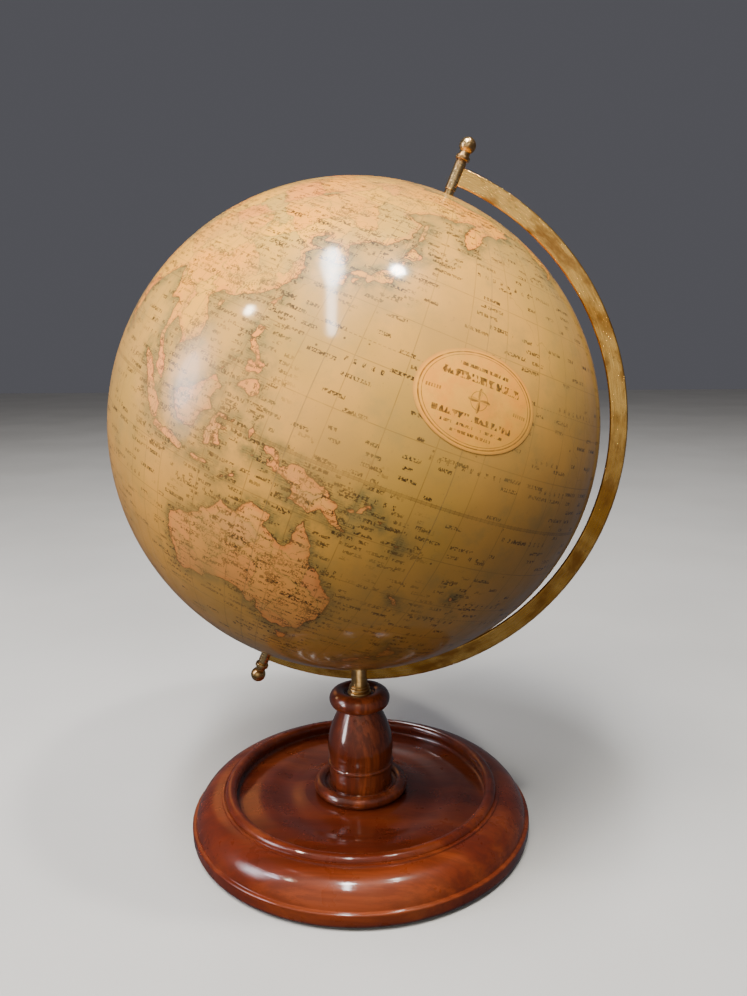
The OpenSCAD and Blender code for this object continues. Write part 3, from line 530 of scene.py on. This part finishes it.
def map_look():
    look = Look("map_paper_varnished")
    e = look.vector("NORMALIZE", look.attribute("earth", "Vector"))
    x, y, z = look.split(e)
    lat = look.math("DEGREES", look.math("ARCSINE", z))
    lon = look.math("DEGREES", look.math("ARCTAN2", y, x))
    shrink = look.math("SQRT", look.math("SUBTRACT", 1.0, look.both(z, z)))

    ragged = look.math("SUBTRACT", look.noise(e, 46.0, 4.0, 0.6), 0.5)
    broad = look.math("SUBTRACT", look.noise(e, 15.0, 2.0, 0.5), 0.5)
    coast = look.math("ADD", look.attribute("coast", "Fac"), look.both(ragged, 1.5))
    coast = look.math("ADD", coast, look.both(broad, 0.9))
    land = look.ramp(coast, -0.04, 0.04)
    sea = look.math("SUBTRACT", 1.0, land)

    # Paper colours and the hand-laid washes
    colour = look.mix(look.ramp(look.noise(e, 1.7, 3.0, 0.5), 0.38, 0.62), SEA_TAN, SEA_OLIVE)
    near = look.ramp(coast, -3.6, 0.0)
    wash_grain = look.noise(e, 26.0, 4.0, 0.7)
    halo = look.both(look.both(near, sea), look.ramp(wash_grain, 0.25, 0.65))
    colour = look.mix(look.both(halo, 0.80), colour, HALO)
    swirl = look.vector("SCALE", look.vector("SUBTRACT", look.noise(e, 6.0, 4.0, 0.6, 1), (0.5, 0.5, 0.5)))
    swirl.node.inputs["Scale"].default_value = 0.16
    moved = look.vector("ADD", e, swirl)
    region = {"Vector": moved, "Scale": 6.5}
    which = look.split(look.node("TexVoronoi", region, "Color", feature="F1"))
    tint = look.colours(which[0], LAND_TINTS, "CONSTANT")
    tint = look.mix(look.ramp(look.noise(e, 5.0, 3.0, 0.5), 0.4, 0.65, 0.0, 0.45), tint, rgb(0.84, 0.38, 0.035))
    tint = look.mix(look.ramp(z, -0.10, 0.30, 0.55, 0.0), tint, SOUTH_PINK)
    edge_wash = look.both(land, look.ramp(coast, 0.0, 1.4, 0.45, 0.0))
    colour = look.mix(land, colour, tint)
    colour = look.mix(edge_wash, colour, rgb(0.74, 0.19, 0.035))

    # Borders, rivers and hills on land
    border = look.node("TexVoronoi", region, "Distance", feature="DISTANCE_TO_EDGE")
    dotted = look.ramp(look.noise(e, 120.0, 1.0, 0.5), 0.46, 0.5)
    ink = look.both(look.both(line(look, border, 0.006, 0.008), dotted), 0.75)
    wash = look.both(look.ramp(border, 0.0, 0.06, 0.30, 0.0), land)
    colour = look.mix(wash, colour, rgb(0.33, 0.25, 0.06))
    river = look.gap(look.noise(e, 8.0, 5.0, 0.55), 0.5)
    ink = look.over(ink, line(look, river, 0.0022, 0.003), 0.7)
    hill = look.gap(look.noise(look.vector("ADD", e, (5, 3, 1)), 4.2, 3.0, 0.5), 0.5)
    hatch = look.ramp(look.noise(e, 150.0, 2.0, 0.6), 0.50, 0.56)
    ink = look.over(ink, look.both(line(look, hill, 0.010, 0.012), hatch), 0.7)
    ink = look.both(ink, land)

    # Engraved hatching off the coasts, along the parallels
    strokes = look.math("PINGPONG", look.math("ADD", lat, look.both(ragged, 0.5)), 0.22)
    hatching = look.both(look.both(line(look, strokes, 0.06, 0.07), sea), look.ramp(coast, -1.3, -0.1))
    broken = look.ramp(look.noise(e, 70.0, 2.0, 0.5), 0.44, 0.56)
    ink = look.over(ink, look.both(hatching, broken), 0.75)
    ink = look.over(ink, line(look, look.math("ABSOLUTE", coast), 0.07, 0.09), 0.85)

    # Islets and soundings in the warm seas
    dots = look.tree.nodes.new("ShaderNodeTexVoronoi")
    look.put(dots.inputs["Vector"], e)
    dots.inputs["Scale"].default_value = 24.0
    pick = look.math("GREATER_THAN", look.split(dots.outputs["Color"])[0], 0.62)
    dot = look.both(look.both(line(look, dots.outputs["Distance"], 0.07, 0.05), pick), look.ramp(x, -0.1, -0.5))
    warm = look.ramp(look.math("ABSOLUTE", look.math("ADD", lat, 2.0)), 24.0, 36.0, 1.0, 0.0)
    ink = look.over(ink, look.both(dot, warm), look.both(sea, 0.8))

    # Graticule, seams, equator, tropics, polar circles, thin tracks over the sea
    grid_lon = look.both(look.math("PINGPONG", lon, 5.0), shrink)
    grid_lat = look.math("PINGPONG", lat, 5.0)
    grid = line(look, look.math("MINIMUM", grid_lon, grid_lat), 0.05, 0.09)
    ink = look.over(ink, grid, 0.36)
    high = look.math("ABSOLUTE", lat)
    for at, weight in ((23.45, 0.5), (66.55, 0.5)):
        circle = line(look, look.gap(high, at), 0.05, 0.09)
        dashes = look.math("GREATER_THAN", look.math("PINGPONG", lon, 0.5), 0.18)
        ink = look.over(ink, look.both(circle, dashes), weight)
    rails = look.gap(high, 0.22)
    ink = look.over(ink, line(look, rails, 0.03, 0.08), 0.55)
    ticks = look.math("LESS_THAN", look.math("PINGPONG", lon, 0.5), 0.09)
    ink = look.over(ink, look.both(line(look, high, 0.40, 0.05), ticks), 0.5)
    for pole, drift in (((0.52, 0.31, 0.79), 0.35), ((-0.35, 0.66, 0.66), -0.22), ((0.80, 0.10, 0.59), 0.1),
                        ((0.1, -0.75, 0.65), 0.3)):
        track = look.vector("DOT_PRODUCT", e, pole, "Value")
        track = look.math("ADD", track, look.both(broad, 0.12))
        track = look.both(look.gap(track, drift), 57.3)
        thin = look.both(line(look, track, 0.06, 0.09), sea)
        ink = look.over(ink, thin, 0.26)

    # Rows of broken dashes where the real map has its names
    on_land = look.both(dash_rows(look, lon, lat, 4.6, 1.05, 0.22, 0.72, 3.0), land)
    at_sea = look.both(dash_rows(look, lon, lat, 7.0, 1.9, 0.19, 0.42, 9.0, pitch=2.4), sea)
    names = look.both(dash_rows(look, lon, lat, 8.4, 2.1, 0.19, 0.62, 21.0, pitch=1.9), land)
    offshore = look.both(look.ramp(coast, -8.0, -2.0), sea)
    coastal = look.both(dash_rows(look, lon, lat, 5.2, 1.45, 0.24, 0.74, 5.0, pitch=2.1), offshore)
    bold = dash_rows(look, lon, lat, 22.0, 5.4, 0.085, 0.42, 14.0, 0.85)
    for marks, weight in ((on_land, 0.85), (at_sea, 0.95), (names, 0.95), (coastal, 0.9), (bold, 0.95)):
        ink = look.over(ink, marks, weight)

    worn = look.ramp(look.noise(e, 17.0, 5.0, 0.7), 0.30, 0.60, 0.45, 1.0)
    colour = look.mix(look.both(ink, worn), colour, INK)
    seam = look.both(look.math("PINGPONG", look.math("SUBTRACT", lon, 15.0), 15.0), shrink)
    colour = look.mix(look.both(line(look, seam, 0.03, 0.16), 0.38), colour, rgb(0.24, 0.16, 0.07))
    cap_edge = look.gap(high, CAP_LATITUDE)
    colour = look.mix(look.both(line(look, cap_edge, 0.04, 0.2), 0.4), colour, rgb(0.22, 0.14, 0.06))
    colour = aged(look, e, colour)
    rough = look.ramp(look.noise(e, 12.0, 4.0, 0.6), 0.3, 0.7, 0.30, 0.46)
    return look.finish(colour, rough, varnish_bumps(look, e), Coat_Weight=0.7, Coat_Roughness=0.10, Coat_IOR=1.5,
                       Specular_IOR_Level=0.25)


def label_look():
    """The title paper: an engraved double border, a compass star and rows of broken rules."""
    look = Look("label_paper_varnished")
    e = look.vector("NORMALIZE", look.attribute("earth", "Vector"))
    u, v, _ = look.split(look.attribute("oval", "Vector"))
    far = look.math("SQRT", look.math("ADD", look.both(u, u), look.both(v, v)))
    paper = look.ramp(look.noise(e, 16.0, 4.0, 0.6), 0.35, 0.65)
    colour = look.mix(paper, rgb(0.95, 0.36, 0.030), rgb(0.95, 0.42, 0.045))
    ink = look.both(line(look, look.gap(far, 0.93), 0.007, 0.008), 0.8)
    thick = line(look, look.gap(far, 0.88), 0.003, 0.006)
    ink = look.over(ink, thick, 0.7)
    # Compass star
    ax, ay = look.both(u, LABEL_HALF_W / LABEL_HALF_H), v
    away = look.math("SQRT", look.math("ADD", look.both(ax, ax), look.both(ay, ay)))
    angle = look.math("ARCTAN2", ay, ax)
    petal = look.math("POWER", look.math("ABSOLUTE", look.math("COSINE", look.both(angle, 2.0))), 3.0)
    reach = look.math("MULTIPLY_ADD", petal, 0.22, 0.035)
    star = look.ramp(look.math("SUBTRACT", away, reach), -0.004, 0.004, 1.0, 0.0)
    ring = line(look, look.gap(away, 0.19), 0.004, 0.006)
    half_dark = look.math("GREATER_THAN", look.math("SINE", look.both(angle, 4.0)), 0.0)
    star = look.both(star, look.math("MULTIPLY_ADD", half_dark, 0.6, 0.25))
    ink = look.math("MAXIMUM", ink, look.math("MAXIMUM", star, look.both(ring, 0.7)))
    # Rules above and below the star, broken into short dashes of uneven length
    rules = ((0.62, 0.40, 0.035, 34.0), (0.40, 0.64, 0.075, 17.0), (-0.38, 0.68, 0.060, 21.0),
             (-0.56, 0.52, 0.028, 38.0), (-0.70, 0.34, 0.028, 38.0))
    for height, half_w, half_h, fine in rules:
        band = look.math("LESS_THAN", look.gap(v, height), half_h)
        wide = look.math("LESS_THAN", look.math("ABSOLUTE", u), half_w)
        grain = look.noise(look.join(look.both(u, fine), look.both(v, 6.0), height * 40), 1.0, 1.0, 0.5)
        rule = look.both(look.both(band, wide), look.ramp(grain, 0.46, 0.52))
        ink = look.over(ink, rule, 0.95)
    for side in (-0.72, 0.72):
        band = look.math("LESS_THAN", look.math("ABSOLUTE", v), 0.035)
        wide = look.math("LESS_THAN", look.gap(u, side), 0.12)
        dashes = look.math("GREATER_THAN", look.math("PINGPONG", u, 0.02), 0.008)
        ink = look.over(ink, look.both(band, wide), look.both(dashes, 0.6))
    worn = look.ramp(look.noise(e, 40.0, 4.0, 0.7), 0.30, 0.60, 0.5, 1.0)
    colour = look.mix(look.both(ink, worn), colour, INK)
    colour = look.mix(look.ramp(far, 0.95, 1.0, 0.0, 0.45), colour, rgb(0.34, 0.17, 0.06))
    colour = aged(look, e, colour, 0.7)
    return look.finish(colour, 0.38, varnish_bumps(look, e), Coat_Weight=0.7, Coat_Roughness=0.10, Coat_IOR=1.5,
                       Specular_IOR_Level=0.25)


def stretched(look, place, along, fine, coarse):
    """Coordinates squeezed across the grain, so that noise runs along one axis."""
    scale = [fine, fine, fine]
    scale[along] = coarse
    return look.vector("MULTIPLY", place, tuple(scale))


def mahogany_look(name, along, shades, streaks):
    """French-polished mahogany. along is the axis of the grain; streaks is how strong the fibres show."""
    look = Look(name)
    p = look.object_place()
    bend = look.vector("SCALE", look.vector("SUBTRACT", look.noise(p, 9.0, 2.0, 0.5, 1), (0.5, 0.5, 0.5)))
    bend.node.inputs["Scale"].default_value = 0.022
    p = look.vector("ADD", p, bend)
    figure = look.noise(stretched(look, p, along, 26.0, 2.2), 1.0, 4.0, 0.6)
    fibre = look.noise(stretched(look, p, along, 260.0, 9.0), 1.0, 4.0, 0.65)
    pores = look.noise(stretched(look, p, along, 2100.0, 90.0), 1.0, 1.0, 0.5)
    colour = look.colours(figure, list(zip((0.34, 0.5, 0.66), shades)))
    colour = look.mix(look.ramp(fibre, 0.38, 0.62, 0.0, streaks), colour, rgb(0.045, 0.009, 0.004))
    colour = look.mix(look.ramp(pores, 0.62, 0.72, 0.0, 0.5 * streaks), colour, rgb(0.030, 0.007, 0.002))
    handled = look.ramp(look.noise(p, 21.0, 5.0, 0.7), 0.55, 0.8, 0.0, 0.35)
    colour = look.mix(handled, colour, rgb(0.20, 0.052, 0.014))
    rough = look.ramp(look.noise(p, 45.0, 4.0, 0.6), 0.3, 0.7, 0.24, 0.40)
    return look.finish(colour, rough, [(pores, 0.00003, 0.2), (look.noise(p, 24.0, 2.0, 0.5), 0.0006, 0.12)],
                       Coat_Weight=1.0, Coat_Roughness=0.09, Coat_IOR=1.5, Specular_IOR_Level=0.15)


def brass_look(name, lines, broad_lines, pale, deep, dull=0.0):
    """Lacquered brass. lines gives the coordinates that the polishing marks follow."""
    look = Look(name)
    p = look.object_place()
    marks = look.noise(lines(look, p), 1.0, 3.0, 0.6)
    tarnish = look.ramp(look.noise(broad_lines(look, p), 1.0, 5.0, 0.65), 0.42, 0.66)
    aside = look.vector("ADD", p, (1.3, 0.7, 2.1))
    golden = look.ramp(look.noise(broad_lines(look, aside), 0.45, 2.0, 0.5), 0.4, 0.6)
    colour = look.mix(look.ramp(marks, 0.35, 0.65), pale, deep)
    colour = look.mix(look.both(golden, 0.9), colour, rgb(*(0.74 * channel ** 1.35 for channel in deep[:3])))
    colour = look.mix(look.both(tarnish, 0.85), colour, rgb(0.30, 0.125, 0.028))
    spots = look.ramp(look.noise(p, 420.0, 3.0, 0.6), 0.66, 0.74)
    colour = look.mix(look.both(spots, 0.6), colour, rgb(0.14, 0.075, 0.03))
    rough = look.math("ADD", look.ramp(marks, 0.3, 0.7, 0.17 + dull, 0.30 + dull), look.both(tarnish, 0.14))
    return look.finish(colour, rough, [(marks, 0.00004, 0.25), (look.noise(p, 90.0, 2.0, 0.5), 0.00025, 0.2)],
                       Metallic=1.0)


def blotches(look, p):
    return look.vector("MULTIPLY", p, (38.0, 38.0, 38.0))


def arc_blotches(look, p):
    return look.vector("MULTIPLY", arc_lines(look, p), (0.035, 0.035, 0.9))


def turned_lines(look, p):
    return look.vector("MULTIPLY", p, (60.0, 60.0, 2600.0))


def arc_lines(look, p):
    """Marks that run round the half meridian: fine across its width, long along it."""
    q = look.vector("SUBTRACT", p, tuple(BALL))
    x, y, z = look.split(q)
    far = look.math("SQRT", look.math("ADD", look.both(x, x), look.both(z, z)))
    angle = look.math("ARCTAN2", z, x)
    return look.join(look.both(far, 2600.0), look.both(y, 2600.0), look.both(angle, 9.0))


def pivot_lines(look, p):
    q = look.vector("SUBTRACT", p, tuple(BALL))
    along = look.vector("DOT_PRODUCT", q, tuple(POLE), "Value")
    x, y, _ = look.split(q)
    return look.join(look.both(along, 2800.0), look.both(x, 60.0), look.both(y, 60.0))


def steel_look():
    look = Look("screw_steel_blued")
    p = look.object_place()
    turned = look.noise(look.vector("MULTIPLY", p, (90.0, 90.0, 2400.0)), 1.0, 3.0, 0.6)
    rust = look.ramp(look.noise(p, 130.0, 5.0, 0.7), 0.55, 0.72)
    colour = look.mix(rust, rgb(0.33, 0.33, 0.34), rgb(0.16, 0.075, 0.035))
    return look.finish(colour, look.ramp(turned, 0.3, 0.7, 0.28, 0.46), [(turned, 0.00004, 0.3)], Metallic=0.9)


def baize_look():
    look = Look("baize_green")
    p = look.object_place()
    nap = look.noise(p, 2600.0, 3.0, 0.7)
    tuft = look.noise(p, 520.0, 4.0, 0.6)
    colour = look.mix(look.ramp(nap, 0.3, 0.7), rgb(0.010, 0.055, 0.025), rgb(0.035, 0.125, 0.06))
    colour = look.mix(look.ramp(tuft, 0.5, 0.75, 0.0, 0.6), colour, rgb(0.07, 0.14, 0.07))
    return look.finish(colour, 0.93, [(nap, 0.0003, 0.6), (tuft, 0.0004, 0.4)], Sheen_Weight=0.35)


def fibre_look(name, dark, light, scale, bump):
    """Papier-mache, pasteboard and plain beech: fibres in two shades."""
    look = Look(name)
    p = look.object_place()
    clumps = look.noise(p, scale, 5.0, 0.65)
    fine = look.noise(look.vector("MULTIPLY", p, (1.0, 1.0, 0.18)), scale * 9, 3.0, 0.6)
    colour = look.mix(look.ramp(clumps, 0.3, 0.7), dark, light)
    colour = look.mix(look.ramp(fine, 0.4, 0.7, 0.0, 0.4), colour, dark)
    return look.finish(colour, look.ramp(fine, 0.3, 0.7, 0.7, 0.9), [(fine, bump, 0.5)])


WOOD_NODES = ("base", "pillar")
BRASS_NODES = ("stem", "stem_collar", "stem_pins", "meridian_arm", "upper_boss", "lower_boss", "upper_lock_ring",
               "lower_lock_ring", "upper_pivot", "lower_pivot", "north_bush", "south_bush")


# ---- Camera ----------------------------------------------------------------
SENSOR_MM, LENS_MM = 36.0, 29.73
HEADING, PITCH, ROLL = math.radians(95.67), math.radians(-10.71), math.radians(-0.67)
EYE_FROM_BALL = (0.0740, -0.6136, 0.0638)


def camera():
    """The photograph's viewpoint: a little right of the front, a little above the ball."""
    data = bpy.data.cameras.new("camera")
    data.sensor_width = SENSOR_MM
    data.lens = LENS_MM
    cam = bpy.data.objects.new("camera", data)
    bpy.context.scene.collection.objects.link(cam)
    level = math.cos(PITCH)
    ahead = Vector((math.cos(HEADING) * level, math.sin(HEADING) * level, math.sin(PITCH)))
    right = ahead.cross(Vector((0, 0, 1))).normalized()
    up = right.cross(ahead)
    right = right * math.cos(ROLL) + up * math.sin(ROLL)
    up = right.cross(ahead)
    turn = Matrix((right, up, -ahead)).transposed()
    cam.matrix_world = Matrix.Translation(Vector(BALL) + Vector(EYE_FROM_BALL)) @ turn.to_4x4()
    bpy.context.scene.camera = cam


def lamp(name, azimuth, elevation, distance, size, watts, seen=True, spin=0.0, tint=(1, 1, 1), shape="RECTANGLE",
         only=()):
    """An area lamp aimed at the ball from a direction given in degrees round from +X.
    only names the CAD nodes that it lights, if it doesn't light everything."""
    data = bpy.data.lights.new(name, "AREA")
    data.shape = shape
    data.size, data.size_y = size
    data.energy = watts
    data.color = tint
    ob = bpy.data.objects.new(name, data)
    bpy.context.scene.collection.objects.link(ob)
    a, e = math.radians(azimuth), math.radians(elevation)
    back = Vector((math.cos(a) * math.cos(e), math.sin(a) * math.cos(e), math.sin(e)))
    ob.rotation_mode = "QUATERNION"
    ob.location = Vector(BALL) + back * distance
    about_its_axis = Matrix.Rotation(math.radians(spin), 3, "Z").to_quaternion()
    ob.rotation_quaternion = (-back).to_track_quat("-Z", "Y") @ about_its_axis
    ob.visible_glossy = seen
    ob.visible_camera = False
    if only:
        lit = bpy.data.collections.new(f"lit_by_{name}")
        for node in only:
            lit.objects.link(nodes[node])
        ob.light_linking.receiver_collection = lit


# ---- Light and floor -------------------------------------------------------
FLOOR_HALF, FLOOR_DROP = 6.0, 0.0002
WINDOW_PANES = ((0.24, 0.42, 2.0), (0.42, 0.66, 3.0), (0.60, 0.92, 3.4))  # wide, tall, watts
LILAC, CREAM, EMBER = (0.93, 0.90, 1.0), (1.0, 0.95, 0.86), (1.0, 0.34, 0.09)


def studio():
    """Soft lamps round the piece. Those with only= give the polished wood and the brass what they mirror."""
    world = bpy.data.worlds.new("studio")
    world.use_nodes = True
    tree = world.node_tree
    way = tree.nodes.new("ShaderNodeTexCoord")
    front = tree.nodes.new("ShaderNodeVectorMath")
    front.operation = "DOT_PRODUCT"
    front.inputs[1].default_value = (0.0, -0.85, 0.5)
    blend = tree.nodes.new("ShaderNodeValToRGB")
    blend.color_ramp.interpolation = "EASE"
    blend.color_ramp.elements[0].position = 0.35
    blend.color_ramp.elements[0].color = rgb(0.090, 0.090, 0.102)
    blend.color_ramp.elements[1].color = rgb(0.34, 0.32, 0.29)
    tree.links.new(way.outputs["Generated"], front.inputs[0])
    tree.links.new(front.outputs["Value"], blend.inputs[0])
    tree.links.new(blend.outputs[0], tree.nodes["Background"].inputs["Color"])
    bpy.context.scene.world = world
    lamp("key", -112, 60, 2.4, (1.0, 1.0), 78, seen=False, tint=(1.0, 0.92, 0.79))
    lamp("front", -120, 12, 2.8, (1.8, 1.8), 26, seen=False, tint=(1.0, 0.93, 0.82))
    lamp("side", -165, 15, 2.6, (1.4, 1.4), 5, seen=False, tint=(1.0, 0.95, 0.88))
    lamp("back", 100, 55, 2.8, (1.8, 1.8), 20, seen=False)
    lamp("strip", -100, 63, 2.0, (0.12, 1.45), 26, spin=12)
    lamp("strip_head", -108, 74, 1.95, (0.26, 0.70), 24, spin=24, shape="ELLIPSE")
    lamp("spot_right", -37, 69, 2.2, (0.18, 0.18), 28, tint=(1.0, 0.96, 0.88), shape="ELLIPSE")
    lamp("spot_left", -146, 47, 2.2, (0.14, 0.14), 9, tint=(1.0, 0.90, 0.74), shape="ELLIPSE")
    for k, (wide, tall, watts) in enumerate(WINDOW_PANES):
        lamp(f"window_{k}", -159, 18, 1.3 + 0.01 * k, (wide, tall), watts, tint=LILAC, shape="ELLIPSE")
        lamp(f"floor_card_{k}", 126, 19, 1.5 + 0.01 * k, (wide + 0.2, tall), 0.14 * watts, tint=EMBER,
             shape="ELLIPSE", only=WOOD_NODES)
    lamp("base_window", -150, 30, 1.2, (0.20, 0.26), 2.6, tint=(0.90, 0.84, 1.0), shape="ELLIPSE", only=("base",))
    lamp("foot_card", -92, 22, 1.0, (0.22, 0.12), 1.6, tint=(1.0, 0.80, 0.50), only=("pillar",))
    lamp("rear_card", 110, 46, 1.32, (0.26, 0.16), 3.6, only=WOOD_NODES)
    lamp("vase_card", -146, -3, 1.2, (0.26, 0.5), 8.0, tint=(1.0, 0.93, 0.93), shape="ELLIPSE", only=("pillar",))
    lamp("vase_fill", -95, 5, 1.8, (1.2, 0.8), 8, seen=False, tint=(1.0, 0.93, 0.85), only=("pillar",))
    lamp("brass_card", -95, 8, 1.6, (1.4, 0.9), 2.4, tint=CREAM, only=BRASS_NODES)
    lamp("stem_card", -90, -38, 0.49, (0.3, 0.2), 0.45, tint=CREAM, only=BRASS_NODES[:3])

    floor_mesh = bpy.data.meshes.new("floor")
    corners = [(x * FLOOR_HALF, y * FLOOR_HALF, 0) for x, y in ((-1, -1), (1, -1), (1, 1), (-1, 1))]
    floor_mesh.from_pydata(corners, [], [(0, 1, 2, 3)])
    floor = bpy.data.objects.new("floor", floor_mesh)
    floor.location.z = cad_low.z - FLOOR_DROP
    bpy.context.scene.collection.objects.link(floor)
    floor.visible_diffuse = floor.visible_glossy = False  # the pale floor throws no light back on the piece
    look = Look("floor_pale")
    mottle = look.ramp(look.noise(look.object_place(), 3.0, 3.0, 0.5), 0.3, 0.7)
    colour = look.mix(mottle, rgb(0.42, 0.42, 0.42), rgb(0.46, 0.46, 0.46))
    floor_mesh.materials.append(look.finish(colour, 0.6))


# ---- Put it together -------------------------------------------------------
camera()
studio()

paper = map_look()
for k in range(GORES):
    west = GORE_ANGLE * (k - 0.5)
    lons = np.linspace(west + SEAM, west + GORE_ANGLE - SEAM, 61)
    lats = np.linspace(-CAP_LATITUDE, CAP_LATITUDE, 281)
    skin_piece(f"map_gore_{k + 1:02d}", lons, lats, False, paper, f"gore_{k + 1:02d}")
round_lons = np.arange(0, 360, 1.0)
hole = 90 - math.degrees(math.asin(PIVOT_HOLE_R / PAPER_OUT))
skin_piece("map_north_cap", round_lons, np.linspace(CAP_LATITUDE + SEAM, hole, 40), True, paper, "north_cap")
skin_piece("map_south_cap", round_lons, np.linspace(-hole, -CAP_LATITUDE - SEAM, 40), True, paper, "south_cap")
label_piece("oval_label", label_look(), "title_label")

PALE_BRASS, DEEP_BRASS = rgb(0.95, 0.74, 0.40), rgb(0.87, 0.62, 0.29)
brass_turned = brass_look("brass_turned", turned_lines, blotches, PALE_BRASS, DEEP_BRASS, 0.08)
brass_arc = brass_look("brass_arc", arc_lines, arc_blotches, rgb(0.91, 0.57, 0.17), rgb(0.80, 0.45, 0.11))
brass_pivot = brass_look("brass_pivot", pivot_lines, blotches, PALE_BRASS, DEEP_BRASS)
steel = steel_look()
BASE_SHADES = ((0.055, 0.0075, 0.0028), (0.100, 0.0140, 0.0040), (0.170, 0.0320, 0.0080))
PILLAR_SHADES = ((0.020, 0.0044, 0.0020), (0.085, 0.0140, 0.0045), (0.200, 0.0430, 0.0120))
FINISHES = {
    "base": mahogany_look("mahogany_base", 0, BASE_SHADES, 0.38),
    "pillar": mahogany_look("mahogany_pillar", 2, PILLAR_SHADES, 0.68),
    "baize_pad": baize_look(),
    "pillar_screw": steel,
    "screw_washer": steel,
    "stem": brass_turned,
    "stem_collar": brass_turned,
    "stem_pins": brass_turned,
    "meridian_arm": brass_arc,
    "upper_boss": brass_pivot,
    "lower_boss": brass_pivot,
    "upper_lock_ring": brass_pivot,
    "lower_lock_ring": brass_pivot,
    "upper_pivot": brass_pivot,
    "lower_pivot": brass_pivot,
    "north_bush": brass_pivot,
    "south_bush": brass_pivot,
    "north_shell": fibre_look("papier_mache", rgb(0.36, 0.30, 0.21), rgb(0.58, 0.53, 0.44), 60.0, 0.0003),
    "equator_hoop": fibre_look("pasteboard", rgb(0.36, 0.26, 0.15), rgb(0.48, 0.37, 0.23), 90.0, 0.0002),
    "axis_post": fibre_look("beech", rgb(0.42, 0.26, 0.12), rgb(0.60, 0.42, 0.23), 30.0, 0.0002),
}
FINISHES["south_shell"] = FINISHES["north_shell"]
for name, finish in FINISHES.items():
    for place in nodes[name].material_slots:
        place.material = finish
